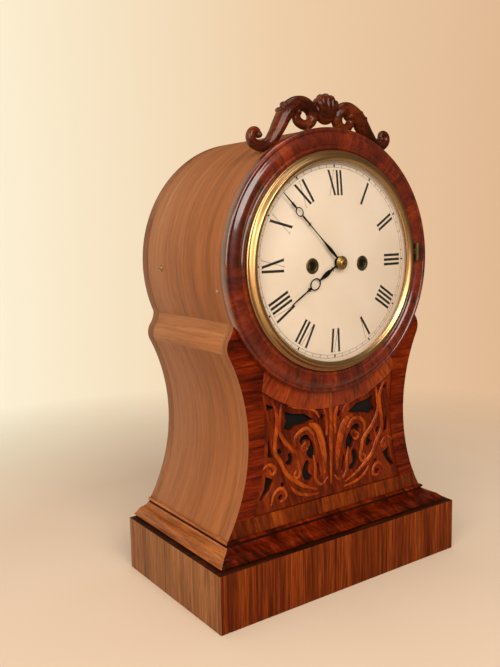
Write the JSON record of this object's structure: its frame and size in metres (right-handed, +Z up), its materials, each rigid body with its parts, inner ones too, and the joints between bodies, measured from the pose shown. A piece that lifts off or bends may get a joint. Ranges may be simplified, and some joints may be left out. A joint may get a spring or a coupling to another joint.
{
  "type": "bracket clock",
  "caption": "Balloon-shaped wooden bracket clock with a pierced fret, carved cresting, brass bezel, painted dial and striking fusee movement.",
  "frame": {"origin": "centre of the plinth's foot, on the surface that the clock stands on", "axes": "+X to the right of the dial as the viewer sees it, +Y from the dial to the rear door, +Z up"},
  "size_m": [0.318, 0.193, 0.5015],
  "materials": {
    "front_veneer": "gloss",
    "case_veneer": "satin",
    "plinth_veneer": "satin",
    "carved_wood": "gloss",
    "carcase_wood": "matte",
    "silk": "matte",
    "polished_brass": "polished",
    "clock_brass": "satin",
    "blued_steel": "polished",
    "steel": "satin",
    "painted_dial": "semi-gloss",
    "gut": "matte",
    "clear_glass": "clear",
    "bell_metal": "polished"
  },
  "bodies": {
    "case": {"plinth_boards": "plinth_veneer", "plinth_floor": "carcase_wood", "base_moulding": "front_veneer", "base_bead": "front_veneer", "front_board": "front_veneer", "back_board": "case_veneer", "waist_sides": "case_veneer", "shoulder_mouldings": "case_veneer", "drum_shell": "case_veneer", "glue_blocks": "carcase_wood", "fret_panel": "front_veneer", "fret_silk": "silk", "cresting": "carved_wood", "cresting_dowels": "carcase_wood", "dial_surround": "front_veneer", "bezel_hinge_plate": "polished_brass", "dial_plate": "painted_dial", "dial_feet": "clock_brass", "winding_ferrules": "clock_brass", "front_plate": "clock_brass", "back_plate": "clock_brass", "plate_pillars": "clock_brass", "movement_brackets": "clock_brass", "back_cock": "clock_brass", "bell": "bell_metal", "bell_stand": "steel", "rear_hinge_plates": "polished_brass", "gut_lines": "gut"},
    "bezel": {"bezel_ring": "polished_brass", "bezel_glass": "clear_glass", "bezel_hinge_leaf": "polished_brass", "bezel_catch": "polished_brass"},
    "door": {"rear_door": "case_veneer", "rear_door_glass": "clear_glass", "rear_hinge_leaves": "polished_brass"},
    "door_knob": {"rear_door_knob": "polished_brass"},
    "centre_work": {"centre_wheel": "clock_brass"},
    "minute_work": {"cannon_wheel": "clock_brass", "minute_hand": "blued_steel", "hand_collet": "clock_brass"},
    "minute_wheel_work": {"minute_wheel": "clock_brass"},
    "hour_work": {"hour_wheel": "clock_brass", "hour_hand": "blued_steel"},
    "third_work": {"third_wheel": "clock_brass"},
    "escape_work": {"escape_wheel": "clock_brass"},
    "going_fusee_work": {"going_fusee": "clock_brass"},
    "going_barrel_work": {"going_barrel": "clock_brass"},
    "gathering_work": {"gathering_wheel": "clock_brass"},
    "pin_work": {"pin_wheel": "clock_brass"},
    "strike_fusee_work": {"strike_fusee": "clock_brass"},
    "strike_barrel_work": {"strike_barrel": "clock_brass"},
    "warning_work": {"warning_wheel": "clock_brass"},
    "fly_work": {"fly": "clock_brass"},
    "pendulum": {"pendulum_rod": "steel", "pendulum_bob": "polished_brass"},
    "pallet_work": {"pallets": "steel"},
    "hammer_work": {"hammer": "steel"},
    "rack_work": {"rack": "steel"},
    "hook_work": {"rack_hook": "steel"},
    "lifting_work": {"lifting_piece": "steel"}
  },
  "joints": [
    {"name": "bezel_opens", "type": "hinge", "parent": "case", "child": "bezel", "pos_m": [0.1116, -0.0765, 0.342], "axis": [0, 0, 1], "range_deg": [0, 115]},
    {"name": "rear_door_opens", "type": "hinge", "parent": "case", "child": "door", "pos_m": [-0.0717, 0.0938, 0.245], "axis": [0, 0, 1], "range_deg": [0, 105]},
    {"name": "rear_knob_turns", "type": "hinge", "parent": "door", "child": "door_knob", "pos_m": [0.0624, 0.0915, 0.24], "axis": [0, 1, 0], "range_deg": [-90, 0]},
    {"name": "centre_turns", "type": "hinge", "parent": "case", "child": "centre_work", "pos_m": [0, 0, 0.335], "axis": [0, 1, 0], "continuous": true},
    {"name": "minute_hand_turns", "type": "hinge", "parent": "case", "child": "minute_work", "pos_m": [0, 0, 0.335], "axis": [0, 1, 0], "continuous": true},
    {"name": "minute_wheel_turns", "type": "hinge", "parent": "case", "child": "minute_wheel_work", "pos_m": [0, 0, 0.3158], "axis": [0, 1, 0], "continuous": true},
    {"name": "hour_hand_turns", "type": "hinge", "parent": "case", "child": "hour_work", "pos_m": [0, 0, 0.335], "axis": [0, 1, 0], "continuous": true},
    {"name": "third_turns", "type": "hinge", "parent": "case", "child": "third_work", "pos_m": [0.00952, 0, 0.35638], "axis": [0, 1, 0], "continuous": true},
    {"name": "escape_turns", "type": "hinge", "parent": "case", "child": "escape_work", "pos_m": [0, 0, 0.37066], "axis": [0, 1, 0], "continuous": true},
    {"name": "going_fusee_turns", "type": "hinge", "parent": "case", "child": "going_fusee_work", "pos_m": [0.0327, 0, 0.333], "axis": [0, 1, 0], "continuous": true},
    {"name": "going_barrel_turns", "type": "hinge", "parent": "case", "child": "going_barrel_work", "pos_m": [0.041, 0, 0.275], "axis": [0, 1, 0], "continuous": true},
    {"name": "gathering_turns", "type": "hinge", "parent": "case", "child": "gathering_work", "pos_m": [-0.038, 0, 0.37134], "axis": [0, -1, 0], "continuous": true},
    {"name": "pin_wheel_turns", "type": "hinge", "parent": "case", "child": "pin_work", "pos_m": [-0.02401, 0, 0.36215], "axis": [0, -1, 0], "continuous": true},
    {"name": "strike_fusee_turns", "type": "hinge", "parent": "case", "child": "strike_fusee_work", "pos_m": [-0.0327, 0, 0.333], "axis": [0, -1, 0], "continuous": true},
    {"name": "strike_barrel_turns", "type": "hinge", "parent": "case", "child": "strike_barrel_work", "pos_m": [-0.041, 0, 0.275], "axis": [0, -1, 0], "continuous": true},
    {"name": "warning_turns", "type": "hinge", "parent": "case", "child": "warning_work", "pos_m": [-0.03351, 0, 0.38376], "axis": [0, -1, 0], "continuous": true},
    {"name": "fly_turns", "type": "hinge", "parent": "case", "child": "fly_work", "pos_m": [-0.02398, 0, 0.38817], "axis": [0, -1, 0], "continuous": true},
    {"name": "pendulum_swings", "type": "hinge", "parent": "case", "child": "pendulum", "pos_m": [0, 0, 0.39258], "axis": [0, 1, 0], "range_deg": [-3, 3]},
    {"name": "pallets_rock", "type": "hinge", "parent": "case", "child": "pallet_work", "pos_m": [0, 0, 0.39258], "axis": [0, 1, 0], "range_deg": [-3, 3]},
    {"name": "hammer_lifts", "type": "hinge", "parent": "case", "child": "hammer_work", "pos_m": [-0.0495, 0, 0.36], "axis": [0, 1, 0], "range_deg": [-12, 0]},
    {"name": "rack_falls", "type": "hinge", "parent": "case", "child": "rack_work", "pos_m": [-0.044, 0, 0.311], "axis": [0, 1, 0], "range_deg": [-6.6, 0]},
    {"name": "rack_hook_lifts", "type": "hinge", "parent": "case", "child": "hook_work", "pos_m": [-0.062, 0, 0.379], "axis": [0, 1, 0], "range_deg": [-6, 0]},
    {"name": "lifting_piece_lifts", "type": "hinge", "parent": "case", "child": "lifting_work", "pos_m": [-0.058, 0, 0.331], "axis": [0, 1, 0], "range_deg": [0, 4]}
  ],
  "couplings": [
    {"joint": "minute_hand_turns", "follows": "centre_turns", "ratio": 1},
    {"joint": "minute_wheel_turns", "follows": "centre_turns", "ratio": -1},
    {"joint": "hour_hand_turns", "follows": "centre_turns", "ratio": 0.083333},
    {"joint": "third_turns", "follows": "centre_turns", "ratio": -12},
    {"joint": "escape_turns", "follows": "centre_turns", "ratio": 120},
    {"joint": "going_fusee_turns", "follows": "centre_turns", "ratio": -0.083333},
    {"joint": "going_barrel_turns", "follows": "centre_turns", "ratio": -0.056667},
    {"joint": "pin_wheel_turns", "follows": "gathering_turns", "ratio": -0.125},
    {"joint": "strike_fusee_turns", "follows": "gathering_turns", "ratio": 0.010417},
    {"joint": "strike_barrel_turns", "follows": "gathering_turns", "ratio": 0.0070833},
    {"joint": "warning_turns", "follows": "gathering_turns", "ratio": -7},
    {"joint": "fly_turns", "follows": "gathering_turns", "ratio": 42},
    {"joint": "pallets_rock", "follows": "pendulum_swings", "ratio": 1}
  ]
}
